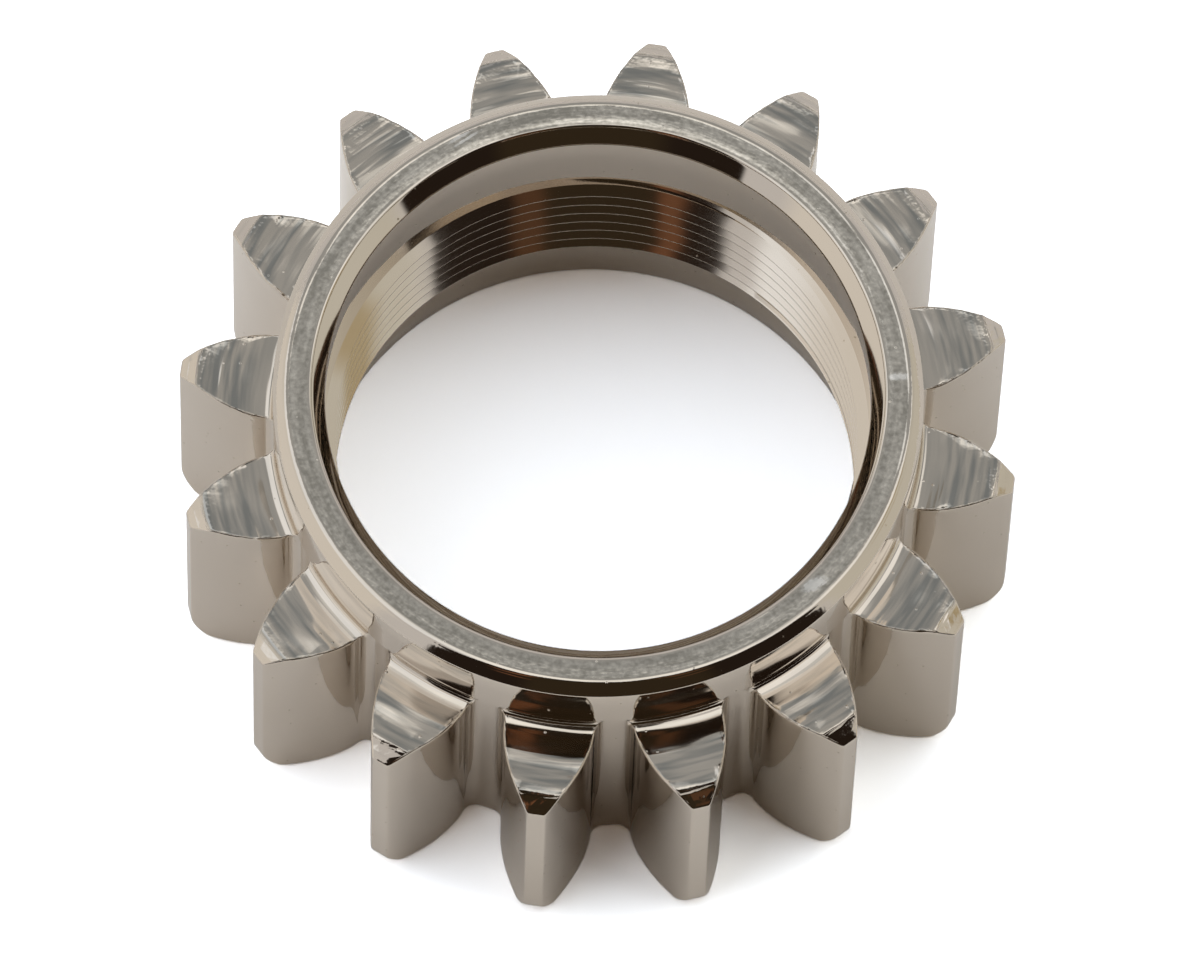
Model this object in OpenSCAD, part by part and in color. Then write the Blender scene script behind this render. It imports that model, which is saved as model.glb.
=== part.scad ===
// Small profile-shifted spur pinion with a raised collar and a threaded bore,
// turned, hobbed and nickel plated in one piece. It stands on its plain end with
// the collar up, and the Z axis is the bore's axis. All lengths are in millimetres.

/* [Teeth] */
// Number of teeth
teeth = 16; // [16:1:24]
// Gear module, the pitch diameter per tooth
gear_module = 1; // [0.95:0.05:1.25]
// Pressure angle in degrees
pressure_angle = 20; // [17.5:0.5:22.5]
// Profile shift, in modules: how far out the hob stands
profile_shift = 0.5; // [0.3:0.02:0.56]
// Tooth height above the pitch circle before the shift, in modules
addendum = 1; // [0.9:0.02:1.02]
// Gap depth below the pitch circle before the shift, in modules
dedendum = 1.25; // [1.1:0.01:1.3]
// Thinning of each tooth at the pitch circle for backlash
backlash = 0; // [0:0.01:0.12]
// Radius in the two bottom corners of each tooth gap
root_radius = 0.3; // [0.1:0.05:0.4]
// Height of the teeth, from the plain end to their collar-side faces
tooth_h = 6.55; // [4.5:0.05:10]

/* [Tooth ends] */
// Bevel at the tips, collar side, measured across the face
tip_bevel = 0.42; // [0.1:0.02:0.5]
// Angle of that bevel from the face, in degrees
tip_bevel_angle = 28; // [20:1:45]
// Radius that rounds the tips off towards the plain end
tip_round = 0.95; // [0.8:0.05:1.5]
// Height where that rounding starts above the plain end
tip_round_h = 0.76; // [0.3:0.02:0.9]

/* [Collar] */
// Outside diameter of the collar
collar_d = 14.64; // [14.2:0.02:15]
// Height of the collar above the tooth faces
collar_h = 1.9; // [1.2:0.1:4]
// Concave radius between the collar and the tooth faces
neck_radius = 0.2; // [0.1:0.02:0.5]
// How far the tooth gaps run up the collar past that radius
gap_runout = 0.05; // [0.02:0.01:0.3]
// Bevel on the outer edge of the collar's end, measured across the end
collar_bevel = 0.28; // [0.1:0.02:0.4]
// Height of that bevel
collar_bevel_h = 0.22; // [0.1:0.02:0.4]
// Bevel on the inner edge of the collar's end
mouth_bevel = 0.3; // [0.1:0.01:0.35]

/* [Bore] */
// Diameter of the smooth counterbore under the collar's end
counterbore_d = 12.28; // [12.2:0.02:12.5]
// Depth of the counterbore from the collar's end
counterbore_depth = 2.05; // [0.8:0.05:2.2]
// Diameter across the thread's crests
thread_crest_d = 11.8; // [11.4:0.05:11.95]
// Bevel that leads into the thread
thread_lead = 0.1; // [0.02:0.01:0.12]
// Diameter of the smooth relief at the plain end
relief_d = 12.9; // [12.2:0.05:13.1]
// Depth of the relief from the plain end
relief_depth = 2.75; // [0.8:0.05:2.85]

/* [Hidden] */
$fn = 180;
// steps along one tooth flank, and along a corner radius of a gap
flank_steps = 14;
corner_steps = 6;
// how far a cutting shape reaches past the surface that it cuts
overcut = 0.5;

height = tooth_h + collar_h;
pitch_r = gear_module * teeth / 2;
tip_r = pitch_r + (addendum + profile_shift) * gear_module;
root_r = pitch_r - (dedendum - profile_shift) * gear_module;
base_r = pitch_r * cos(pressure_angle);
collar_r = collar_d / 2;
counterbore_r = counterbore_d / 2;
counterbore_floor = height - counterbore_depth;
thread_crest_r = thread_crest_d / 2;
relief_r = relief_d / 2;

// involute function of an angle, in degrees
function inv(a) = tan(a) * 180 / PI - a;
// half the angle that a tooth fills at the pitch circle: the shift widens it
half_pitch_tooth = 90 / teeth + (2 * profile_shift * gear_module * tan(pressure_angle)
    - backlash) / 2 / pitch_r * 180 / PI;
// half the angle that a tooth fills at radius r
function half_tooth(r) = half_pitch_tooth + inv(pressure_angle)
    - inv(acos(min(1, base_r / r)));
// half the angle that a gap leaves open at radius r
function half_gap(r) = 180 / teeth - half_tooth(r);
function polar(r, a) = [r * cos(a), r * sin(a)];

// One side of a tooth gap, from the middle of its floor out past the tips.
// The corner radius touches the floor and the straight part of the flank,
// and from the base circle outwards the flank is an involute.
corner_a = half_gap(base_r) - asin(root_radius / (root_r + root_radius));
corner = polar(root_r + root_radius, corner_a);
gap_side = concat(
    [for (i = [0:2]) polar(root_r, corner_a * i / 2)],
    [for (i = [1:corner_steps])
        let (turn = 90 + corner_a - half_gap(base_r))
        corner + polar(root_radius, corner_a + 180 - turn * i / corner_steps)],
    [for (i = [0:flank_steps])
        let (r = base_r + (tip_r + overcut - base_r) * i / flank_steps)
        polar(r, half_gap(r))]);

function flipped(points) =
    [for (i = [len(points) - 1:-1:1]) [points[i][0], -points[i][1]]];

// what the hob takes out between two teeth
module tooth_gap(top) {
    translate([0, 0, -overcut])
        linear_extrude(top + overcut) polygon(concat(flipped(gap_side), gap_side));
}

// half section of the turned outside, before the teeth are cut
module outside_section() {
    bevel_h = tip_bevel * tan(tip_bevel_angle);
    difference() {
        union() {
            square([tip_r, tooth_h]);
            square([collar_r, height]);
            translate([collar_r, tooth_h]) difference() {
                square(neck_radius);
                translate([neck_radius, neck_radius]) circle(neck_radius);
            }
        }
        // bevel at the tips, collar side
        polygon([[tip_r - tip_bevel, tooth_h], [tip_r, tooth_h - bevel_h],
            [tip_r + overcut, tooth_h - bevel_h], [tip_r + overcut, tooth_h + overcut],
            [tip_r - tip_bevel, tooth_h + overcut]]);
        // rounding of the tips towards the plain end
        translate([tip_r - tip_round, tip_round_h]) difference() {
            translate([0, -tip_round - overcut])
                square([tip_round + overcut, tip_round + overcut]);
            circle(tip_round);
        }
        // bevel on the collar's outer edge
        polygon([[collar_r - collar_bevel, height], [collar_r, height - collar_bevel_h],
            [collar_r + overcut, height - collar_bevel_h], [collar_r + overcut, height + overcut],
            [collar_r - collar_bevel, height + overcut]]);
    }
}

// half section of the hole: relief, thread, counterbore and its mouth
module bore_section() {
    translate([0, -overcut]) square([relief_r, relief_depth + overcut]);
    square([thread_crest_r, height]);
    translate([0, counterbore_floor]) square([counterbore_r, counterbore_depth + overcut]);
    polygon([[0, counterbore_floor - thread_lead], [thread_crest_r, counterbore_floor - thread_lead],
        [thread_crest_r + thread_lead, counterbore_floor], [0, counterbore_floor]]);
    polygon([[0, height - mouth_bevel], [counterbore_r, height - mouth_bevel],
        [counterbore_r + mouth_bevel, height], [counterbore_r + mouth_bevel, height + overcut],
        [0, height + overcut]]);
}

module pinion_gear() {
    gap_top = tooth_h + neck_radius + gap_runout;
    color("#a79f94") difference() {
        rotate_extrude() difference() {
            outside_section();
            bore_section();
        }
        // a tooth points straight to the front, with a gap on either side of it
        for (i = [0:teeth - 1])
            rotate(-90 + (i + 0.5) * 360 / teeth) tooth_gap(gap_top);
    }
}

pinion_gear();
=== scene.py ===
import math

import bmesh
import bpy
import numpy as np
from mathutils import Matrix, Vector


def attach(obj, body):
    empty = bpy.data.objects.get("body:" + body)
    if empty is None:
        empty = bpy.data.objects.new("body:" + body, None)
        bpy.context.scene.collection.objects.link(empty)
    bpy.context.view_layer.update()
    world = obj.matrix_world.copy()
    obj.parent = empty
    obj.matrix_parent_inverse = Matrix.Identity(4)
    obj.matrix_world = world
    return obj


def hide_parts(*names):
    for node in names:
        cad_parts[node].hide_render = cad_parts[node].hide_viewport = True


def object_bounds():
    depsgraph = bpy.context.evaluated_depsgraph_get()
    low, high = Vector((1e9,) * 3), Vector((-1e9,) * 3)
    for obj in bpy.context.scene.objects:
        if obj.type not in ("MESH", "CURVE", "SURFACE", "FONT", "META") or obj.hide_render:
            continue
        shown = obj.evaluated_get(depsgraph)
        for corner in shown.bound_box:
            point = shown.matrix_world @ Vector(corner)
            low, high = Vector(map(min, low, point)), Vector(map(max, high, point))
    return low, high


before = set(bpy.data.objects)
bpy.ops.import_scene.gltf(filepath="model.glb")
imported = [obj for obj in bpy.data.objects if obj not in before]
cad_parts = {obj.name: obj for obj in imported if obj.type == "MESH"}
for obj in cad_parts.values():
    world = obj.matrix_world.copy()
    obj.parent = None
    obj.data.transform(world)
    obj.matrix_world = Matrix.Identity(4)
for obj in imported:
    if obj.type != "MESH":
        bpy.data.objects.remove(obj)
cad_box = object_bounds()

# Lengths are in millimetres while a mesh is worked out, and in metres from there on.
MM = 0.001
SAME_PLACE = 1.5e-6   # corners closer than this, in metres, are merged
MATH, VECTOR = "ShaderNodeMath", "ShaderNodeVectorMath"
SPLIT, JOIN = "ShaderNodeSeparateXYZ", "ShaderNodeCombineXYZ"
NOISE, RANGE, MIX = "ShaderNodeTexNoise", "ShaderNodeMapRange", "ShaderNodeMix"

# Sizes of the teeth
TEETH = 16
MODULE = 1.0
PRESSURE = math.radians(20)
SHIFT = 0.5           # profile shift in modules
TIP_R = 9.4995
ROOT_R = 7.25
ROOT_CORNER = 0.3
PITCH_R = MODULE * TEETH / 2
BASE_R = PITCH_R * math.cos(PRESSURE)
HALF_STEP = math.pi / TEETH

FACE_Z = 6.55         # the tooth faces, collar side
TOP_Z = 8.45          # the collar's end
BEVEL_IN_R = 9.085    # where the tip bevel meets the tooth face
BEVEL_SLOPE = math.tan(math.radians(28))
BEVEL_SOFT = 0.03     # rounding of the tip bevel's lower edge, as a height on either side
EDGE = 0.05           # rounding of the edges round each tooth face
FOOT_EDGE = 0.1       # rounding of the edges at the plain end
TIP_CORNER = 0.09     # rounding along the two edges of each tip
FOOT_ROUND = 0.95     # radius that rounds the tips off towards the plain end
FOOT_ROUND_Z = 0.76

# Sizes of the collar
COLLAR_R = 7.315
NECK_TIGHT = 0.137    # radius right against the collar, down to a slope of 16 degrees
NECK_WIDE = 0.75      # radius that carries on from there into the tooth face
NECK_LEAN = math.radians(16)
NECK_R = COLLAR_R + NECK_TIGHT * (1 - math.sin(NECK_LEAN)) + NECK_WIDE * math.sin(NECK_LEAN)
NECK_Z = FACE_Z + NECK_WIDE * (1 - math.cos(NECK_LEAN)) + NECK_TIGHT * math.cos(NECK_LEAN)
END_OUT_R = 7.09      # where the outer bevel would meet the collar's end without its rounding
END_BEVEL_H = 0.222
END_EDGE = 0.3        # rounding between that bevel and the end
WALL_EDGE = 0.05      # rounding between that bevel and the collar's wall

# Sizes of the bore
ROUND_R = 6.713       # where the end's rounded inner edge starts
INNER_ROUND = 0.95    # radius of that edge
MOUTH_R = 6.449       # outer edge of the bevel at the hole's mouth
COUNTERBORE_R = 6.14
STEP_Z = 6.15         # foot of the counterbore's wall, where a cone leads in to the thread
CREST_R = 5.9
LEAD_H = 0.14         # height of that cone
THREAD_FOOT = 2.75
THREAD_PITCH = 0.489
THREAD_DEPTH = COUNTERBORE_R - CREST_R
THREAD_START = -0.34  # where the helix starts, in turns
CREST_WIDTH = 0.06    # flat on each crest, as a share of the pitch
RELIEF_R = 6.44

# The toothed outside meets the turned bore in these rings, on the plain end and on the collar's
FOOT_RING = (6.6, 6.85)
END_RING = (6.77, 6.9)

# Corners round the bore, and along each part of half a tooth's outline
ROUND_STEPS = 288
TIP_COUNT, TIP_CORNER_COUNT, FLANK_COUNT, LINE_COUNT, ROOT_COUNT, FLOOR_COUNT = 3, 4, 16, 1, 6, 3

# Bright marks on the collar's end: middle, half length, half width, and turn in degrees
END_MARKS = ((-3.95, 5.69, 0.34, 0.05, 42),
             (-3.83, 5.62, 0.34, 0.04, 43),
             (6.62, 1.34, 0.28, 0.09, 11),
             (5.44, -3.91, 0.31, 0.15, 37))


def srgb(code):
    """Hex colour to the linear values that Blender's sockets take."""
    parts = [int(code[i:i + 2], 16) / 255 for i in (1, 3, 5)]
    return tuple(c / 12.92 if c <= 0.04045 else ((c + 0.055) / 1.055) ** 2.4 for c in parts) + (1.0,)


def add(tree, kind, ins=(), **settings):
    """Adds one node, makes its settings, and fills or links its inputs by number or name."""
    n = tree.nodes.new(kind)
    for key, value in settings.items():
        setattr(n, key, value)
    for key, value in (ins.items() if isinstance(ins, dict) else enumerate(ins)):
        if isinstance(value, bpy.types.Node):
            value = value.outputs[0]
        if isinstance(value, bpy.types.NodeSocket):
            tree.links.new(value, n.inputs[key])
        else:
            n.inputs[key].default_value = value
    return n


def half_tooth(r):
    """Half the angle that a tooth fills at radius r, by the involute."""
    a = np.arccos(np.minimum(1, BASE_R / np.asarray(r, float)))
    wider = SHIFT * MODULE * math.tan(PRESSURE) / PITCH_R
    return HALF_STEP / 2 + wider + math.tan(PRESSURE) - PRESSURE - (np.tan(a) - a)


def steps(start, end, count):
    """count evenly spaced values from start to end, without start."""
    return np.linspace(start, end, count + 1)[1:]


def join_rings(ring_a, ring_b, angles_a, angles_b):
    """Triangles for the flat band between two closed rings of corners, given each corner's angle."""
    faces = []
    na, nb, i, used = len(ring_a), len(ring_b), 0, 0
    j = int(np.argmin(np.abs((angles_b - angles_a[0] + np.pi) % (2 * np.pi) - np.pi)))
    turned_a = turned_b = 0.0
    while i < na or used < nb:
        step_a = (angles_a[(i + 1) % na] - angles_a[i % na]) % (2 * np.pi)
        step_b = (angles_b[(j + 1) % nb] - angles_b[j % nb]) % (2 * np.pi)
        if used >= nb or (i < na and turned_a + step_a <= turned_b + step_b):
            faces.append((ring_a[i % na], ring_a[(i + 1) % na], ring_b[j % nb]))
            turned_a += step_a
            i += 1
        else:
            faces.append((ring_a[i % na], ring_b[(j + 1) % nb], ring_b[j % nb]))
            turned_b += step_b
            j += 1
            used += 1
    return faces


def tip_radius(z):
    """How far the turned outside reaches at height z: rounded foot, bevel at the top."""
    if z < FOOT_ROUND_Z:
        return TIP_R - FOOT_ROUND + math.sqrt(FOOT_ROUND ** 2 - (FOOT_ROUND_Z - z) ** 2)
    past = z - (FACE_Z - (TIP_R - BEVEL_IN_R) * BEVEL_SLOPE)
    if past < -BEVEL_SOFT:
        return TIP_R
    if past > BEVEL_SOFT:
        return TIP_R - past / BEVEL_SLOPE
    return TIP_R - (past + BEVEL_SOFT) ** 2 / (4 * BEVEL_SOFT) / BEVEL_SLOPE


def beside_gap(r):
    """0 where the flank meets the collar, 1 where the tooth face is clear of the neck."""
    return np.clip((r - COLLAR_R - 0.02) / 0.35, 0, 1)


def tooth_outline(tip, inset, fades):
    """Half a tooth's outline, from the middle of its tip to the middle of the gap, as radii and
    angles. It is moved inwards by inset, which fades out towards the root if fades is set."""
    corner = TIP_CORNER
    rc = tip - inset - corner
    ac = float(half_tooth(rc)) - (corner + inset) / BASE_R
    pressure = math.acos(BASE_R / rc)
    r = [np.full(TIP_COUNT, tip - inset)]
    a = [np.linspace(0, ac, TIP_COUNT)]
    turn = steps(0, math.pi / 2 - pressure, TIP_CORNER_COUNT)
    x = rc + corner * np.cos(turn)
    y = corner * np.sin(turn)
    r.append(np.hypot(x, y))
    a.append(ac + np.arctan2(y, x))
    flank = steps(r[-1][-1], BASE_R, FLANK_COUNT)
    r.append(flank)
    a.append(half_tooth(flank) - inset * (beside_gap(flank) if fades else 1) / BASE_R)
    # under the base circle the flank runs straight in
    line_end = math.sqrt((ROOT_R + ROOT_CORNER) ** 2 - ROOT_CORNER ** 2)
    line = steps(flank[-1], min(line_end, BASE_R - 0.02), LINE_COUNT)
    r.append(line)
    a.append(float(half_tooth(BASE_R)) - inset * (beside_gap(line) if fades else 1) / line)
    # the gap's corner and floor, worked out from the middle of the gap
    half_gap = HALF_STEP - float(half_tooth(BASE_R))
    corner_a = half_gap - math.asin(ROOT_CORNER / (ROOT_R + ROOT_CORNER))
    sweep = math.pi / 2 + corner_a - half_gap
    angle = corner_a + math.pi - sweep + steps(0.06, sweep, ROOT_COUNT)
    cx = (ROOT_R + ROOT_CORNER) * math.cos(corner_a)
    cy = (ROOT_R + ROOT_CORNER) * math.sin(corner_a)
    rough = np.hypot(cx + ROOT_CORNER * np.cos(angle), cy + ROOT_CORNER * np.sin(angle))
    rad = ROOT_CORNER + inset * (beside_gap(rough) if fades else 1)
    x = cx + rad * np.cos(angle)
    y = cy + rad * np.sin(angle)
    r.append(np.hypot(x, y))
    a.append(HALF_STEP - np.arctan2(y, x))
    r.append(np.full(FLOOR_COUNT, r[-1][-1]))
    a.append(steps(a[-1][-1], HALF_STEP, FLOOR_COUNT))
    return np.concatenate(r), np.concatenate(a)


def neck_slope(r):
    """Slope of the turned neck at radius r: 0 on the tooth face, a right angle at the collar."""
    wide = np.arcsin(np.clip((NECK_R - r) / NECK_WIDE, 0, 1))
    tight = np.arcsin(np.clip(1 - (r - COLLAR_R) / NECK_TIGHT, 0, 1))
    return np.where(wide > NECK_LEAN, np.maximum(tight, NECK_LEAN), wide)


def neck_place(slope):
    """Radius and height on the neck where it has this slope."""
    wide = slope < NECK_LEAN
    r = np.where(wide, NECK_R - NECK_WIDE * np.sin(slope), COLLAR_R + NECK_TIGHT * (1 - np.sin(slope)))
    z = np.where(wide, FACE_Z + NECK_WIDE * (1 - np.cos(slope)), NECK_Z - NECK_TIGHT * np.cos(slope))
    return r, z


def tooth_rows():
    """Rows of corners from the plain end, up the flanks, over the tooth face and the neck, and
    up the collar. Each row holds radii, angles, heights, and how near an edge it lies."""
    rows = []
    plain_r, plain_a = tooth_outline(TIP_R, 0, False)
    # on the turned parts the corners are spread evenly, up to where the root's corner starts
    path = np.concatenate([[0], np.cumsum(np.hypot(np.diff(plain_r), plain_r[1:] * np.diff(plain_a)))])
    last = TIP_COUNT + TIP_CORNER_COUNT + FLANK_COUNT + LINE_COUNT - 1
    inner_a = plain_a.copy()
    inner_a[:last + 1] = plain_a[last] * path[:last + 1] / path[last]
    one = np.ones(len(plain_r))

    def row(r, a, z, edge):
        rows.append((r * one, a * one, z * one, edge * one))

    # plain end: from the flat ring out to the rounded foot of the outline
    web_in, web_out = ROOT_R - 0.105, ROOT_R + 0.45
    low_r, low_a = tooth_outline(tip_radius(0), FOOT_EDGE, False)
    row(FOOT_RING[1], inner_a, 0, 0)
    row(np.minimum(low_r, web_in), inner_a, 0, 0)
    base = np.minimum(low_r, web_out)
    share = np.clip((low_r - web_in) / 0.5, 0, 1)
    base_a = np.where(low_r > web_out, inner_a, inner_a + (low_a - inner_a) * share)
    row(base, base_a, 0, 0)
    for f in (0.4, 0.8):
        row(base + (low_r - base) * f, base_a + (low_a - base_a) * f, 0, 0)
    for turn in np.linspace(0, math.pi / 2, 5):
        z = FOOT_EDGE * (1 - math.cos(turn))
        cut = FOOT_EDGE * (1 - math.sin(turn))
        row(*tooth_outline(tip_radius(z), cut, False), z, 0.6)
    for heights, near_edge in (((0.2, 0.32, 0.46, 0.61, 0.79), 0.1), ((1.6, 2.8, 4.0, 5.3, 6.0), 0),
                               ((6.27, 6.3, 6.33, 6.36, 6.42), 0.3)):
        for z in heights:
            row(*tooth_outline(tip_radius(z), 0, False), z, near_edge)

    # rounded edge up to the tooth face, and up to the neck beside the gap
    for turn in np.linspace(0, math.pi / 2, 5):
        z = FACE_Z - EDGE + EDGE * math.sin(turn)
        r, a = tooth_outline(tip_radius(z), EDGE * (1 - math.cos(turn)), True)
        soft = EDGE * beside_gap(r)
        top = neck_place(neck_slope(r))[1] - 0.05 * np.clip((COLLAR_R - r) / 0.04, 0, 1)
        row(r, a, top - soft + soft * math.sin(turn), 1.0 if turn else 0.5)
    out_r, out_a, out_z, _ = rows[-1]

    # tooth face, in to the neck
    on_face = out_r > NECK_R
    base = np.minimum(out_r, NECK_R)
    for f in (0.06, 0.3, 0.6, 1):
        row(out_r + (base - out_r) * f, out_a + (inner_a - out_a) * f * on_face,
            np.where(on_face, FACE_Z, out_z), 0.35 if f < 0.1 else 0)
    # neck, up to the collar
    start_a = np.where(on_face, inner_a, out_a)
    start = neck_slope(base)
    in_gap = out_r < COLLAR_R
    for degrees in (4, 8, 12, 16, 28, 44, 60, 76, 90):
        f = degrees / 90
        r, z = neck_place(start + (math.pi / 2 - start) * f)
        r = np.where(in_gap, out_r + (COLLAR_R - out_r) * f, r)
        z = np.where(in_gap, out_z + (NECK_Z - out_z) * f, z)
        row(r, start_a + (inner_a - start_a) * min(1, f * 1.6), z, 0)
    # collar's wall, its bevel, and the rounding on either side of that
    for z in (6.78, 7.1, 7.6):
        row(COLLAR_R, inner_a, z, 0)
    lean = math.atan2(COLLAR_R - END_OUT_R, END_BEVEL_H)
    z_low = TOP_Z - END_BEVEL_H - WALL_EDGE * math.tan(lean / 2)
    for turn in np.linspace(0, lean, 4):
        row(COLLAR_R - WALL_EDGE * (1 - math.cos(turn)), inner_a, z_low + WALL_EDGE * math.sin(turn), 0.1)
    r_end = END_OUT_R - END_EDGE * math.tan((math.pi / 2 - lean) / 2)
    for turn in np.linspace(lean, math.pi / 2, 6):
        row(r_end + END_EDGE * math.cos(turn), inner_a, TOP_Z - END_EDGE * (1 - math.sin(turn)), 0.15)
    row(END_RING[1], inner_a, TOP_Z, 0)
    return rows


def unbent_tooth():
    """The tooth as a mesh that the node tree bends: X is the radius and Y the angle left over
    once the involute's half angle is taken off, and the attribute flank says on which side."""
    rows = tooth_rows()
    corners, flank, edge, burr = [], [], [], []
    for r, a, z, e in rows:
        r = np.concatenate([r[::-1], r[1:]])
        a = np.concatenate([-a[::-1], a[1:]])
        z = np.concatenate([z[::-1], z[1:]])
        e = np.concatenate([e[::-1], e[1:]])
        side = np.sign(a)
        corners.append(np.stack([r, a - side * half_tooth(r), z], 1))
        flank.append(side)
        edge.append(e)
        burr.append(np.where(e == 1, beside_gap(r), 0))
    across = len(flank[0])
    faces = [(p, p + 1, p + 1 + across, p + across)
             for j in range(len(rows) - 1) for p in range(j * across, (j + 1) * across - 1)]
    mesh = bpy.data.meshes.new("unbent_tooth")
    mesh.from_pydata(np.concatenate(corners).tolist(), [], faces)
    for name, values in (("flank", flank), ("edge", edge), ("burr", burr)):
        mesh.attributes.new(name, "FLOAT", "POINT").data.foreach_set("value", np.concatenate(values))
    return bpy.data.objects.new("unbent_tooth", mesh)


def new_tree(name, inputs):
    """A geometry tree with a mesh coming in and going out, and named sizes with their values."""
    tree = bpy.data.node_groups.new(name, "GeometryNodeTree")
    face = tree.interface
    face.new_socket("Geometry", in_out="OUTPUT", socket_type="NodeSocketGeometry")
    face.new_socket("Geometry", in_out="INPUT", socket_type="NodeSocketGeometry")
    for label, kind, value in inputs:
        face.new_socket(label, in_out="INPUT", socket_type="NodeSocket" + kind).default_value = value
    return tree


def run_tree(obj, tree):
    """Runs the tree on obj with each input set, and returns the result as a plain mesh."""
    bpy.context.scene.collection.objects.link(obj)
    mod = obj.modifiers.new("shape", "NODES")
    mod.node_group = tree
    for item in tree.interface.items_tree:
        if item.in_out == "INPUT" and item.name != "Geometry":
            mod[item.identifier] = item.default_value
    bpy.context.view_layer.update()
    dg = bpy.context.evaluated_depsgraph_get()
    mesh = bpy.data.meshes.new_from_object(obj.evaluated_get(dg))
    obj.modifiers.remove(mod)
    bpy.data.objects.remove(obj)
    return mesh


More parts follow.
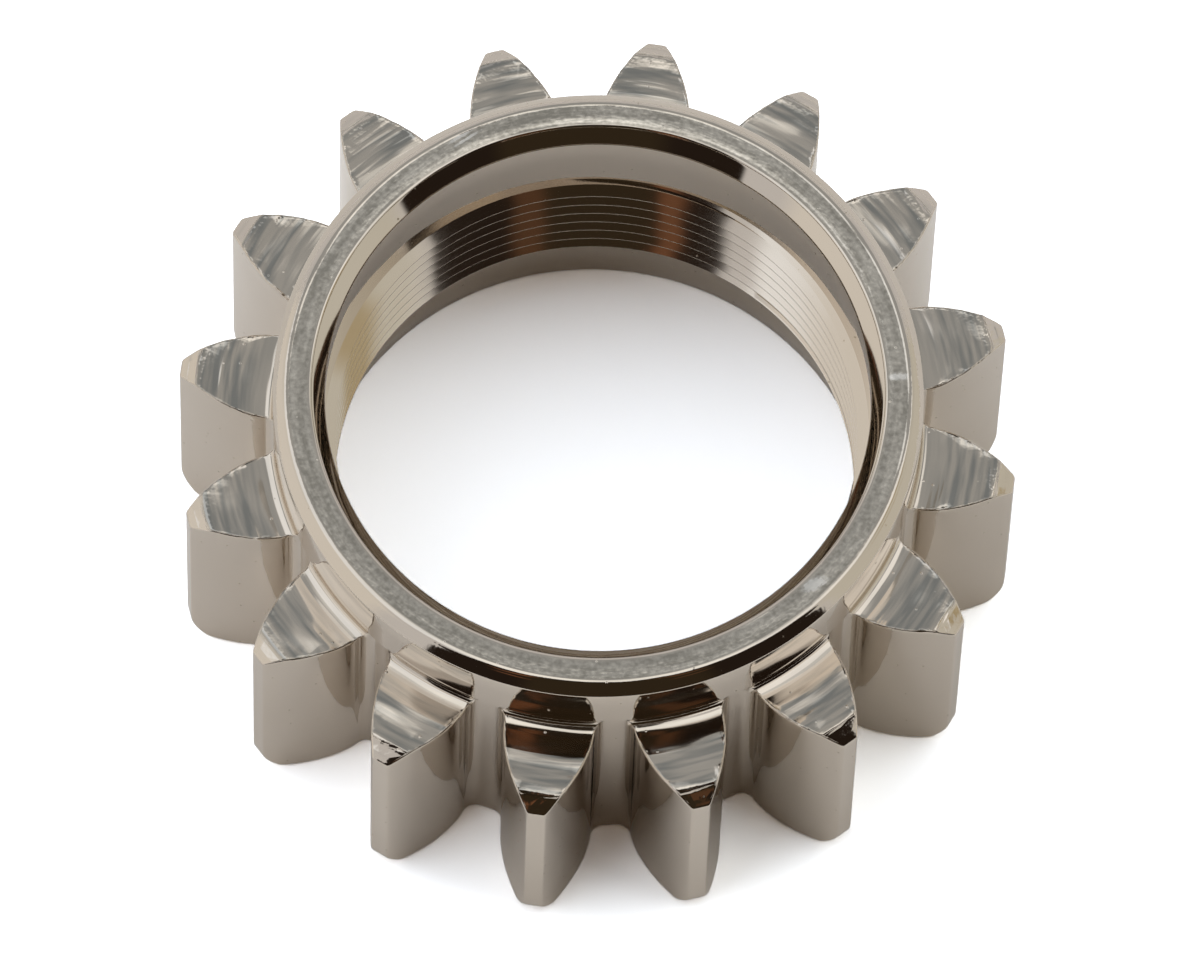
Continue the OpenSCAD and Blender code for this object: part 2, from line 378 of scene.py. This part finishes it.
def teeth_tree(finish):
    """Bends the tooth onto its involute, repeats it round the axis and adds nicks and burrs."""
    tree = new_tree("ring_of_teeth", [
        ("Teeth", "Int", TEETH), ("Module", "Float", MODULE), ("Pressure angle", "Float", PRESSURE),
        ("Profile shift", "Float", SHIFT), ("Nick depth", "Float", 0.03), ("Burr height", "Float", 0.035),
        ("Nick size", "Float", 0.25), ("Seed", "Float", 3.0), ("Finish", "Material", finish)])
    sizes = add(tree, "NodeGroupInput").outputs
    teeth, module, pressure = sizes["Teeth"], sizes["Module"], sizes["Pressure angle"]
    tangent = add(tree, MATH, [pressure], operation="TANGENT")
    double_pitch_r = add(tree, MATH, [module, teeth], operation="MULTIPLY")
    pitch_r = add(tree, MATH, [double_pitch_r, 0.5], operation="MULTIPLY")
    base_r = add(tree, MATH, [pitch_r, add(tree, MATH, [pressure], operation="COSINE")], operation="MULTIPLY")
    r, left, z = add(tree, SPLIT, [add(tree, "GeometryNodeInputPosition")]).outputs
    # half angle = quarter step + shift's share + inv(pressure angle) - inv(angle at this radius)
    quarter = add(tree, MATH, [math.pi / 2, teeth], operation="DIVIDE")
    moved_out = add(tree, MATH, [sizes["Profile shift"], module], operation="MULTIPLY")
    wider = add(tree, MATH, [moved_out, tangent], operation="MULTIPLY")
    wider = add(tree, MATH, [wider, pitch_r], operation="DIVIDE")
    inv_pitch = add(tree, MATH, [tangent, pressure], operation="SUBTRACT")
    ratio = add(tree, MATH, [add(tree, MATH, [base_r, r], operation="DIVIDE"), 1.0], operation="MINIMUM")
    slant = add(tree, MATH, [ratio], operation="ARCCOSINE")
    inv_here = add(tree, MATH, [add(tree, MATH, [slant], operation="TANGENT"), slant], operation="SUBTRACT")
    half = add(tree, MATH, [quarter, wider], operation="ADD")
    half = add(tree, MATH, [half, inv_pitch], operation="ADD")
    half = add(tree, MATH, [half, inv_here], operation="SUBTRACT")
    flank = add(tree, "GeometryNodeInputNamedAttribute", {"Name": "flank"}, data_type="FLOAT")
    angle = add(tree, MATH, [flank, half, left], operation="MULTIPLY_ADD")
    across = add(tree, MATH, [r, add(tree, MATH, [angle], operation="COSINE")], operation="MULTIPLY")
    along = add(tree, MATH, [r, add(tree, MATH, [angle], operation="SINE")], operation="MULTIPLY")
    metres = add(tree, VECTOR, {0: add(tree, JOIN, [across, along, z]), "Scale": MM}, operation="SCALE")
    tooth = add(tree, "GeometryNodeSetPosition", {"Geometry": sizes["Geometry"], "Position": metres})
    # one copy on each of the points, turned by its number, the first one to the front
    points = add(tree, "GeometryNodePoints", {"Count": teeth})
    step = add(tree, MATH, [2 * math.pi, teeth], operation="DIVIDE")
    number = add(tree, "GeometryNodeInputIndex")
    turn = add(tree, MATH, [number, step, -math.pi / 2], operation="MULTIPLY_ADD")
    ring = add(tree, "GeometryNodeInstanceOnPoints", {
        "Points": points, "Instance": tooth, "Rotation": add(tree, JOIN, {2: turn})})
    solid = add(tree, "GeometryNodeRealizeInstances", [ring])
    merged = add(tree, "GeometryNodeMergeByDistance", {"Geometry": solid, "Distance": SAME_PLACE})
    # nicks bite into the edges and burrs stand up from them, a different set on each tooth
    in_mm = add(tree, VECTOR, {0: add(tree, "GeometryNodeInputPosition"), "Scale": 1 / MM}, operation="SCALE")
    noise = add(tree, NOISE, {
        "Vector": in_mm, "W": sizes["Seed"], "Detail": 2.0,
        "Scale": add(tree, MATH, [1.0, sizes["Nick size"]], operation="DIVIDE")}, noise_dimensions="4D")
    edge = add(tree, "GeometryNodeInputNamedAttribute", {"Name": "edge"}, data_type="FLOAT")
    bite = add(tree, RANGE, {"Value": noise, "From Min": 0.56, "From Max": 0.8})
    deep = add(tree, MATH, [bite, edge], operation="MULTIPLY")
    # the front teeth are hardly nicked
    calm = add(tree, RANGE, {
        "Value": add(tree, SPLIT, [in_mm]).outputs[1],
        "From Min": -8.0, "From Max": -1.0, "To Min": 0.15, "To Max": 1.0})
    deep = add(tree, MATH, [deep, calm], operation="MULTIPLY")
    deep = add(tree, MATH, [deep, sizes["Nick depth"]], operation="MULTIPLY")
    deep = add(tree, MATH, [deep, -MM], operation="MULTIPLY")
    inwards = add(tree, VECTOR, {0: add(tree, "GeometryNodeInputNormal"), "Scale": deep}, operation="SCALE")
    burr_on = add(tree, "GeometryNodeInputNamedAttribute", {"Name": "burr"}, data_type="FLOAT")
    rise = add(tree, RANGE, {"Value": noise, "From Min": 0.5, "From Max": 0.3})
    high = add(tree, MATH, [rise, burr_on], operation="MULTIPLY")
    high = add(tree, MATH, [high, sizes["Burr height"]], operation="MULTIPLY")
    upwards = add(tree, JOIN, {2: add(tree, MATH, [high, MM], operation="MULTIPLY")})
    worn = add(tree, "GeometryNodeSetPosition", {
        "Geometry": merged, "Offset": add(tree, VECTOR, [inwards, upwards], operation="ADD")})
    done = add(tree, "GeometryNodeSetMaterial", {"Geometry": worn, "Material": sizes["Finish"]})
    add(tree, "NodeGroupOutput", [done])
    return tree


def thread_tree(finish):
    """A 60 degree right-hand thread cut in the bore, with the cone above it. The rows of a grid
    follow the helix, so that its crests and roots are true edges, and the rows that would pass
    the thread's height are held at its ends."""
    tree = new_tree("bore_thread", [
        ("Crest radius", "Float", CREST_R), ("Depth", "Float", THREAD_DEPTH),
        ("Pitch", "Float", THREAD_PITCH), ("Bottom", "Float", THREAD_FOOT),
        ("Top", "Float", STEP_Z), ("Lead-in", "Float", LEAD_H),
        ("Crest width", "Float", CREST_WIDTH), ("Start", "Float", THREAD_START),
        ("Steps round", "Int", ROUND_STEPS), ("Finish", "Material", finish)])
    sizes = add(tree, "NodeGroupInput").outputs
    radius, depth, pitch = sizes["Crest radius"], sizes["Depth"], sizes["Pitch"]
    low, top = sizes["Bottom"], sizes["Top"]
    # four rows in each pitch: crest, crest, root, root; turns enough wherever the helix starts
    reach = add(tree, MATH, [top, low], operation="SUBTRACT")
    turns = add(tree, MATH, [reach, pitch], operation="DIVIDE")
    turns = add(tree, MATH, [turns, sizes["Start"]], operation="SUBTRACT")
    turns = add(tree, MATH, [turns], operation="CEIL")
    last = add(tree, MATH, [turns, 4.0, 4.0], operation="MULTIPLY_ADD")
    grid = add(tree, "GeometryNodeMeshGrid", {
        "Size X": 1.0, "Size Y": 1.0,
        "Vertices X": add(tree, MATH, [sizes["Steps round"], 1.0], operation="ADD"),
        "Vertices Y": add(tree, MATH, [last, 1.0], operation="ADD")})
    place = add(tree, SPLIT, [add(tree, "GeometryNodeInputPosition")])
    share = add(tree, MATH, [place.outputs[0], 0.5], operation="ADD")
    angle = add(tree, MATH, [share, 2 * math.pi], operation="MULTIPLY")
    up = add(tree, MATH, [place.outputs[1], 0.5], operation="ADD")
    number = add(tree, MATH, [add(tree, MATH, [up, last], operation="MULTIPLY")], operation="ROUND")
    turn = add(tree, MATH, [number, 0.25, 0.01], operation="MULTIPLY_ADD")
    turn = add(tree, MATH, [turn], operation="FLOOR")
    kind = add(tree, MATH, [turn, -4.0, number], operation="MULTIPLY_ADD")
    # where each of the four rows lies within a pitch, and how deep it is
    crest = sizes["Crest width"]
    flank = add(tree, MATH, [depth, pitch], operation="DIVIDE")
    flank = add(tree, MATH, [flank, math.tan(math.radians(30))], operation="MULTIPLY")
    to_root = add(tree, MATH, [flank, crest], operation="ADD")
    to_crest = add(tree, MATH, [1.0, flank], operation="SUBTRACT")
    is_1, is_2, is_3 = (add(tree, MATH, [kind, k, 0.1], operation="COMPARE") for k in (1.0, 2.0, 3.0))
    at = add(tree, MATH, [is_1, crest], operation="MULTIPLY")
    at = add(tree, MATH, [is_2, to_root, at], operation="MULTIPLY_ADD")
    at = add(tree, MATH, [is_3, to_crest, at], operation="MULTIPLY_ADD")
    along = add(tree, MATH, [add(tree, MATH, [turn, at], operation="ADD"), share], operation="ADD")
    along = add(tree, MATH, [along, sizes["Start"]], operation="ADD")
    below = add(tree, MATH, [low, pitch], operation="SUBTRACT")
    height = add(tree, MATH, [pitch, along, below], operation="MULTIPLY_ADD")
    held = add(tree, MATH, [low, add(tree, MATH, [top, height], operation="MINIMUM")], operation="MAXIMUM")
    # the grooves get shallower towards the foot, and the cone at the top is cut over them
    from_low = add(tree, MATH, [held, low], operation="SUBTRACT")
    room = add(tree, MATH, [from_low, math.tan(math.radians(60))], operation="MULTIPLY")
    deep = add(tree, MATH, [add(tree, MATH, [is_2, is_3], operation="ADD"), depth], operation="MULTIPLY")
    deep = add(tree, MATH, [deep, room], operation="MINIMUM")
    from_top = add(tree, MATH, [top, held], operation="SUBTRACT")
    cone = add(tree, MATH, [from_top, sizes["Lead-in"]], operation="DIVIDE", use_clamp=True)
    cone = add(tree, MATH, [1.0, cone], operation="SUBTRACT")
    cone = add(tree, MATH, [cone, depth], operation="MULTIPLY")
    r = add(tree, MATH, [add(tree, MATH, [deep, cone], operation="MAXIMUM"), radius], operation="ADD")
    across = add(tree, MATH, [r, add(tree, MATH, [angle], operation="COSINE")], operation="MULTIPLY")
    beside = add(tree, MATH, [r, add(tree, MATH, [angle], operation="SINE")], operation="MULTIPLY")
    metres = add(tree, VECTOR, {0: add(tree, JOIN, [across, beside, held]), "Scale": MM}, operation="SCALE")
    bent = add(tree, "GeometryNodeSetPosition", {"Geometry": grid, "Position": metres})
    merged = add(tree, "GeometryNodeMergeByDistance", {"Geometry": bent, "Distance": SAME_PLACE})
    solid = add(tree, "GeometryNodeRealizeInstances", [merged])
    done = add(tree, "GeometryNodeSetMaterial", {"Geometry": solid, "Material": sizes["Finish"]})
    add(tree, "NodeGroupOutput", [done])
    return tree


def nickel_plated_steel():
    """Turned and hobbed steel under bright nickel: a warm grey mirror. The plating follows the
    turning marks on the faces, stays smooth on the hobbed flanks, and is rubbed to a fine grain
    on the collar's end. Edges carry small bright burrs."""
    mat = bpy.data.materials.new("nickel_plated_steel")
    mat.use_nodes = True
    tree = mat.node_tree
    tree.nodes.clear()
    place = add(tree, "ShaderNodeTexCoord")
    mm = add(tree, VECTOR, {0: place.outputs["Object"], "Scale": 1 / MM}, operation="SCALE")
    _, y, z = add(tree, SPLIT, [mm]).outputs
    plan = add(tree, VECTOR, [mm, (1, 1, 0)], operation="MULTIPLY")
    radius = add(tree, VECTOR, [plan], operation="LENGTH").outputs["Value"]
    facing = add(tree, SPLIT, [place.outputs["Normal"]]).outputs[2]
    edge = add(tree, "ShaderNodeAttribute", attribute_name="edge").outputs["Fac"]

    # up: faces that look up; end: the collar's end, inside its outer rounding
    up = add(tree, RANGE, {
        "Value": facing, "From Min": 0.85, "From Max": 0.97}, interpolation_type="SMOOTHSTEP")
    end = add(tree, RANGE, {
        "Value": facing, "From Min": 0.972, "From Max": 0.99}, interpolation_type="SMOOTHSTEP")
    high = add(tree, MATH, [z, TOP_Z - 0.05], operation="GREATER_THAN")
    end = add(tree, MATH, [end, high], operation="MULTIPLY")
    inside = add(tree, RANGE, {
        "Value": radius, "From Min": 6.945, "From Max": 6.985, "To Min": 1.0, "To Max": 0.0})
    end = add(tree, MATH, [end, inside], operation="MULTIPLY")

    # turning marks: rings 0.16 mm apart that run on for about 1.4 mm, and slower ones 0.4 mm apart
    flat = add(tree, VECTOR, [mm, (0.65, 0.65, 0)], operation="MULTIPLY")
    rings = add(tree, JOIN, {2: add(tree, MATH, [radius, 5.8], operation="MULTIPLY")})
    rings = add(tree, VECTOR, [flat, rings], operation="ADD")
    marks = add(tree, NOISE, {"Vector": rings, "Detail": 1.5, "Scale": 1.1})
    slow_rings = add(tree, JOIN, {2: add(tree, MATH, [radius, 2.1], operation="MULTIPLY")})
    slow_rings = add(tree, VECTOR, [flat, slow_rings], operation="ADD")
    slow = add(tree, NOISE, {"Vector": slow_rings, "Detail": 0.0, "Scale": 1.1})
    # they are strong in patches about 2.5 mm long, at the back of the gear, and clear of the neck
    patches = add(tree, NOISE, {"Vector": mm, "Scale": 0.4, "Detail": 0.0})
    streaky = add(tree, RANGE, {
        "Value": patches, "From Min": 0.4, "From Max": 0.6, "To Min": 0.25, "To Max": 1.0})
    behind = add(tree, RANGE, {
        "Value": y, "From Min": -6.5, "From Max": 1.0, "To Min": 0.3, "To Max": 1.0})
    streaky = add(tree, MATH, [streaky, behind], operation="MULTIPLY")
    clear = add(tree, RANGE, {
        "Value": radius, "From Min": NECK_R + 0.05, "From Max": NECK_R + 0.5, "To Min": 0.25, "To Max": 1.0})
    # the plating's own slow waves, about 1 mm, and the ragged grain along the edges, 0.11 mm
    waves = add(tree, NOISE, {"Vector": mm, "Scale": 1.0, "Detail": 0.0})
    ragged = add(tree, NOISE, {"Vector": mm, "Scale": 9.0, "Detail": 1.0})
    # rubbed grain of the end, about 0.05 mm across and 0.15 mm along the ring, and its mottling
    # in spots of about 0.14 mm
    around = add(tree, VECTOR, [mm, (5, 5, 0)], operation="MULTIPLY")
    grain = add(tree, JOIN, {2: add(tree, MATH, [radius, 14.0], operation="MULTIPLY")})
    grain = add(tree, VECTOR, [around, grain], operation="ADD")
    grain = add(tree, NOISE, {"Vector": grain, "Scale": 1.3, "Detail": 0.0})
    mottled = add(tree, NOISE, {"Vector": mm, "Scale": 7.0, "Detail": 1.5, "Roughness": 0.7})
    # specks in some cells of a pattern 0.3 mm wide: bright ones on the faces, dust on the walls
    cells = add(tree, "ShaderNodeTexVoronoi", {"Vector": mm, "Scale": 3.2, "Randomness": 1.0})
    picked = add(tree, MATH, [add(tree, SPLIT, [cells.outputs["Color"]]), 0.62], operation="GREATER_THAN")
    speck = add(tree, RANGE, {
        "Value": cells.outputs["Distance"], "From Min": 0.045, "From Max": 0.12,
        "To Min": 1.0, "To Max": 0.0}, interpolation_type="SMOOTHSTEP")
    speck = add(tree, MATH, [speck, picked], operation="MULTIPLY")
    dust = add(tree, MATH, [speck, add(tree, MATH, [1.0, up], operation="SUBTRACT")], operation="MULTIPLY")
    speck = add(tree, MATH, [speck, up], operation="MULTIPLY")
    # scratches and rubbed spots on the end
    bright = 0.0
    for across, along, half_long, half_wide, turned in END_MARKS:
        spot = add(tree, "ShaderNodeMapping", {
            "Vector": plan, "Location": (across, along, 0), "Rotation": (0, 0, math.radians(turned)),
            "Scale": (half_long, half_wide, 1)}, vector_type="TEXTURE")
        spot = add(tree, VECTOR, [spot], operation="LENGTH").outputs["Value"]
        spot = add(tree, MATH, [spot, ragged], operation="ADD")
        spot = add(tree, RANGE, {
            "Value": spot, "From Min": 1.1, "From Max": 1.7, "To Min": 1.0, "To Max": 0.0})
        bright = add(tree, MATH, [spot, bright], operation="MAXIMUM")
    seen = add(tree, MATH, [end, 0.6], operation="MULTIPLY")
    bright = add(tree, MATH, [bright, seen], operation="MULTIPLY")

    # heights in millimetres, added up for one bump
    tall = add(tree, MATH, [streaky, 0.022], operation="MULTIPLY")
    tall = add(tree, MATH, [marks, tall], operation="MULTIPLY")
    tall = add(tree, MATH, [slow, 0.045, tall], operation="MULTIPLY_ADD")
    tall = add(tree, MATH, [waves, 0.045, tall], operation="MULTIPLY_ADD")
    face = add(tree, MATH, [up, add(tree, MATH, [1.0, end], operation="SUBTRACT")], operation="MULTIPLY")
    face = add(tree, MATH, [face, clear], operation="MULTIPLY")
    tall = add(tree, MATH, [tall, face], operation="MULTIPLY")
    rubs = add(tree, MATH, [add(tree, MATH, [grain, mottled], operation="ADD"), end], operation="MULTIPLY")
    tall = add(tree, MATH, [rubs, 0.003, tall], operation="MULTIPLY_ADD")
    tall = add(tree, MATH, [speck, 0.006, tall], operation="MULTIPLY_ADD")
    burrs = add(tree, MATH, [ragged, edge], operation="MULTIPLY")
    burrs = add(tree, MATH, [burrs, behind], operation="MULTIPLY")
    tall = add(tree, MATH, [burrs, 0.014, tall], operation="MULTIPLY_ADD")
    tall = add(tree, MATH, [waves, 0.006, tall], operation="MULTIPLY_ADD")
    bump = add(tree, "ShaderNodeBump", {"Height": tall, "Strength": 1.0, "Distance": MM})

    rough = add(tree, MATH, [grain, 0.03, 0.035], operation="MULTIPLY_ADD")
    rough = add(tree, MATH, [face, 0.07, rough], operation="MULTIPLY_ADD")
    rough = add(tree, MATH, [end, 0.13, rough], operation="MULTIPLY_ADD")
    rough = add(tree, MATH, [bright, 0.25, rough], operation="MULTIPLY_ADD")
    # the thread is a little duller than the smooth walls beside it
    in_thread = add(tree, MATH, [radius, COUNTERBORE_R - 0.01], operation="LESS_THAN")
    rough = add(tree, MATH, [in_thread, 0.05, rough], operation="MULTIPLY_ADD")
    spotty = add(tree, MATH, [speck, dust], operation="ADD")
    rough = add(tree, MATH, [spotty, 0.3, rough], operation="MULTIPLY_ADD")

    # bright plating, duller in streaks on the faces and all over the rubbed end, with yellowish dust
    dull = add(tree, RANGE, {"Value": marks, "From Min": 0.62, "From Max": 0.36})
    dull = add(tree, MATH, [dull, face], operation="MULTIPLY")
    streaked = add(tree, MATH, [mottled, marks], operation="ADD")
    streaked = add(tree, RANGE, {"Value": streaked, "From Min": 0.78, "From Max": 1.3})
    dusty = add(tree, MATH, [dust, 0.5], operation="MULTIPLY")
    colour = add(tree, MIX, {0: patches, 6: srgb("#dad1c6"), 7: srgb("#d4cabd")}, data_type="RGBA").outputs[2]
    colour = add(tree, MIX, {0: dull, 6: colour, 7: srgb("#a7a5a0")}, data_type="RGBA").outputs[2]
    rubbed = add(tree, MIX, {
        0: streaked, 6: srgb("#b2aca2"), 7: srgb("#e4ddd2")}, data_type="RGBA").outputs[2]
    colour = add(tree, MIX, {0: end, 6: colour, 7: rubbed}, data_type="RGBA").outputs[2]
    colour = add(tree, MIX, {0: bright, 6: colour, 7: srgb("#fbf9f6")}, data_type="RGBA").outputs[2]
    colour = add(tree, MIX, {0: dusty, 6: colour, 7: srgb("#ab9a7d")}, data_type="RGBA").outputs[2]
    shader = add(tree, "ShaderNodeBsdfPrincipled", {
        "Base Color": colour, "Metallic": 1.0, "Roughness": rough, "Normal": bump})
    add(tree, "ShaderNodeOutputMaterial", [shader])
    return mat


def lathe(bm, profile, count):
    """Turns a profile of (radius, height) round the axis into rings of faces."""
    angles = np.arange(count) * 2 * math.pi / count
    rings = [[bm.verts.new((r * math.cos(t) * MM, r * math.sin(t) * MM, z * MM)) for t in angles]
             for r, z in profile]
    for low, high in zip(rings[:-1], rings[1:]):
        for i in range(count):
            j = (i + 1) % count
            bm.faces.new((low[i], low[j], high[j], high[i]))


def ring_at(bm, z, radius):
    """The open ring of corners at one height and near one radius, in order round the axis, and
    the angle of each of them."""
    found = [v for v in bm.verts if abs(v.co.z - z * MM) < 1e-7 and v.is_boundary
             and abs(math.hypot(v.co.x, v.co.y) - radius * MM) < 0.02 * MM]
    found.sort(key=lambda v: math.atan2(v.co.y, v.co.x))
    return found, np.array([math.atan2(v.co.y, v.co.x) for v in found])


def make_gear(material):
    """The whole gear: the ring of teeth, the turned bore and its thread, closed into one shell."""
    teeth = run_tree(unbent_tooth(), teeth_tree(material))
    blank = bpy.data.objects.new("thread_blank", bpy.data.meshes.new("thread_blank"))
    thread = run_tree(blank, thread_tree(material))
    bm = bmesh.new()
    bm.from_mesh(teeth)
    bm.from_mesh(thread)
    # collar's end, rounded inner edge, mouth bevel and counterbore, from the top down
    lean = math.asin((ROUND_R - MOUTH_R) / INNER_ROUND)
    profile = [(END_RING[0], TOP_Z)]
    for turn in np.linspace(0, lean, 6):
        profile.append((ROUND_R - INNER_ROUND * math.sin(turn), TOP_Z - INNER_ROUND * (1 - math.cos(turn))))
    z_mouth = profile[-1][1]
    z_in = z_mouth - (MOUTH_R - COUNTERBORE_R)
    profile += [(MOUTH_R - 0.02, z_mouth - 0.012), (MOUTH_R - 0.05, z_mouth - 0.042),
                (COUNTERBORE_R + 0.03, z_in + 0.03), (COUNTERBORE_R + 0.008, z_in + 0.003),
                (COUNTERBORE_R, z_in - 0.02), (COUNTERBORE_R, 7.3), (COUNTERBORE_R, 6.3),
                (COUNTERBORE_R, STEP_Z)]
    lathe(bm, profile, ROUND_STEPS)
    # relief at the plain end, from the thread down to the end
    lathe(bm, [(CREST_R, THREAD_FOOT), (CREST_R + 0.1, THREAD_FOOT - 0.02),
               (RELIEF_R - 0.03, THREAD_FOOT - 0.03), (RELIEF_R, THREAD_FOOT - 0.07),
               (RELIEF_R, 1.9), (RELIEF_R, 0.85), (RELIEF_R, 0.08),
               (RELIEF_R + 0.025, 0.025), (RELIEF_R + 0.08, 0), (FOOT_RING[0], 0)], ROUND_STEPS)
    bmesh.ops.remove_doubles(bm, verts=bm.verts[:], dist=SAME_PLACE)
    for z, (inner, outer) in ((TOP_Z, END_RING), (0, FOOT_RING)):
        ring_a, angles_a = ring_at(bm, z, inner)
        ring_b, angles_b = ring_at(bm, z, outer)
        for corners in join_rings(ring_a, ring_b, angles_a, angles_b):
            bm.faces.new(corners)
    # burrs and rounding errors stay within the solid's height
    for v in bm.verts:
        v.co.z = min(max(v.co.z, cad_box[0][2]), cad_box[1][2])
    bmesh.ops.recalc_face_normals(bm, faces=bm.faces[:])
    open_edges = sum(1 for e in bm.edges if not e.is_manifold)
    print("triangles", sum(len(f.verts) - 2 for f in bm.faces), "open edges", open_edges,
          "volume mm3", bm.calc_volume() / MM ** 3)
    mesh = bpy.data.meshes.new("pinion_gear_plated")
    bm.to_mesh(mesh)
    bm.free()
    mesh.materials.clear()
    mesh.materials.append(material)
    mesh.polygons.foreach_set("material_index", [0] * len(mesh.polygons))
    mesh.shade_smooth()
    mesh.set_sharp_from_angle(angle=math.radians(32))
    gear = bpy.data.objects.new("plated_pinion", mesh)
    bpy.context.scene.collection.objects.link(gear)
    return gear


def add_floor():
    """White paper under the gear. The camera sees it brighter than the light makes it, as in a
    picture with a whitened background; the shadow stays, and the metal mirrors the plain paper."""
    mesh = bpy.data.meshes.new("paper")
    s = 1.5       # half its width in metres
    z = -2e-5     # just under the gear
    mesh.from_pydata([(-s, -s, z), (s, -s, z), (s, s, z), (-s, s, z)], [], [(0, 1, 2, 3)])
    floor = bpy.data.objects.new("paper", mesh)
    bpy.context.scene.collection.objects.link(floor)
    mat = bpy.data.materials.new("white_paper")
    mat.use_nodes = True
    tree = mat.node_tree
    tree.nodes.clear()
    plain = add(tree, "ShaderNodeBsdfDiffuse", {"Color": srgb("#f2f0ee")})
    mirrored = add(tree, "ShaderNodeBsdfDiffuse", {"Color": (1.25, 1.24, 1.23, 1)})
    seen = add(tree, "ShaderNodeBsdfDiffuse", {"Color": (3.4, 3.6, 3.9, 1)})
    path = add(tree, "ShaderNodeLightPath").outputs
    mixed = add(tree, "ShaderNodeMixShader", [path["Is Glossy Ray"], plain, mirrored])
    mixed = add(tree, "ShaderNodeMixShader", [path["Is Camera Ray"], mixed, seen])
    add(tree, "ShaderNodeOutputMaterial", [mixed])
    mesh.materials.append(mat)


CAMERA_TURN = math.radians(6.062)    # how far the camera stands round from straight in front

# The studio round the gear. Each part has the azimuth of its middle, in degrees from the camera
# and positive to the right, its half width, the heights that it reaches from and to, how soft its
# limits are, and its light.
STUDIO = [
    ("left window", -92, 36, -90, 46, 8, (0.84, 0.81, 0.76)),
    ("right wall", 96, 31, -90, 46, 8, (0.67, 0.65, 0.58)),
    ("lamp shade on the right", 95, 9, 29, 42, 10, (0.50, 0.42, 0.27)),
    ("far wall high up", 174, 46, 38, 73, 5, (0.41, 0.42, 0.42)),
    ("far ceiling", 174, 46, 72, 80, 5, (0.78, 0.79, 0.78)),
    ("left soft box", -96, 43, 43, 91, 7, (1.06, 1.09, 1.12)),
    ("right soft box", 99, 31, 47, 91, 7, (1.14, 1.14, 1.13)),
    ("ceiling", 0, 181, 79, 91, 4, (1.20, 1.21, 1.19)),
    ("dark camera side", 11.3, 51.8, -5, 74, 2, (0.021, 0.014, 0.010)),
    ("brown in its middle", 8, 24, -5, 74, 8, (0.036, 0.025, 0.014)),
    ("camera's holder", 4, 46, 70, 88, 4, (0.030, 0.022, 0.014)),
    ("red glow on the left", -21, 4, 42, 73, 5, (0.18, 0.08, 0.04)),
    ("red glow on the right", 29, 5, 42, 73, 5, (0.10, 0.05, 0.026)),
]


def add_world():
    """A soft white studio: pale all round, darker where the camera and its holder stand."""
    world = bpy.data.worlds.new("studio")
    bpy.context.scene.world = world
    world.use_nodes = True
    tree = world.node_tree
    tree.nodes.clear()
    way = add(tree, "ShaderNodeTexCoord").outputs["Generated"]
    # turned so that Y points away from the camera, then azimuth and height of the direction
    turned = add(tree, "ShaderNodeVectorRotate", {
        "Vector": way, "Angle": -CAMERA_TURN}, rotation_type="Z_AXIS")
    x, y, z = add(tree, SPLIT, [turned]).outputs
    azimuth = add(tree, MATH, [x, add(tree, MATH, [y, -1.0], operation="MULTIPLY")], operation="ARCTAN2")
    azimuth = add(tree, MATH, [azimuth, 180 / math.pi], operation="MULTIPLY")
    height = add(tree, MATH, [add(tree, MATH, [z], operation="ARCSINE"), 180 / math.pi], operation="MULTIPLY")
    colour = (0.69, 0.68, 0.68, 1)
    for _, middle, half, low, top, soft, light in STUDIO:
        off = add(tree, MATH, [azimuth, middle], operation="SUBTRACT")
        off = add(tree, MATH, [off, 180.0, -180.0], operation="WRAP")
        off = add(tree, MATH, [off], operation="ABSOLUTE")
        # in this part's width, above its lower limit, and below its upper one
        share = 1.0
        for value, limit, on_low, on_high in ((off, half, 1.0, 0.0), (height, low, 0.0, 1.0),
                                              (height, top, 1.0, 0.0)):
            within = add(tree, RANGE, {
                "Value": value, "From Min": limit - soft / 2, "From Max": limit + soft / 2,
                "To Min": on_low, "To Max": on_high}, interpolation_type="SMOOTHSTEP")
            share = add(tree, MATH, [share, within], operation="MULTIPLY")
        colour = add(tree, MIX, {0: share, 6: colour, 7: (*light, 1)}, data_type="RGBA").outputs[2]
    lit = add(tree, "ShaderNodeBackground", {"Color": colour, "Strength": 1.0})
    plain = add(tree, "ShaderNodeBackground", {"Color": (1, 1, 1, 1), "Strength": 1.0})
    path = add(tree, "ShaderNodeLightPath").outputs
    both = add(tree, "ShaderNodeMixShader", [path["Is Camera Ray"], lit, plain])
    add(tree, "ShaderNodeOutputWorld", [both])


def add_camera():
    """The photograph's camera: a long lens 406 mm away, 68 degrees above the floor."""
    turn = Matrix.Rotation(CAMERA_TURN, 3, "Z")
    place = turn @ Vector((0.1181, -151.4775, 377.0497)) * MM
    right = turn @ Vector((0.99914545, 0.03830882, 0.01551773))
    up = turn @ Vector((-0.04133238, 0.9260556, 0.37511686))
    back = right.cross(up)
    data = bpy.data.cameras.new("camera")
    data.sensor_fit = "HORIZONTAL"
    data.sensor_width = 36.0
    data.lens = 532.605
    data.clip_start = 0.01
    data.clip_end = 10
    camera = bpy.data.objects.new("camera", data)
    camera.matrix_world = Matrix((
        (right.x, up.x, back.x, place.x), (right.y, up.y, back.y, place.y),
        (right.z, up.z, back.z, place.z), (0, 0, 0, 1)))
    bpy.context.scene.collection.objects.link(camera)
    bpy.context.scene.camera = camera


bpy.context.scene.view_settings.view_transform = "Standard"
add_camera()
add_world()
add_floor()
gear = make_gear(nickel_plated_steel())
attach(gear, "root")
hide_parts("pinion_gear")
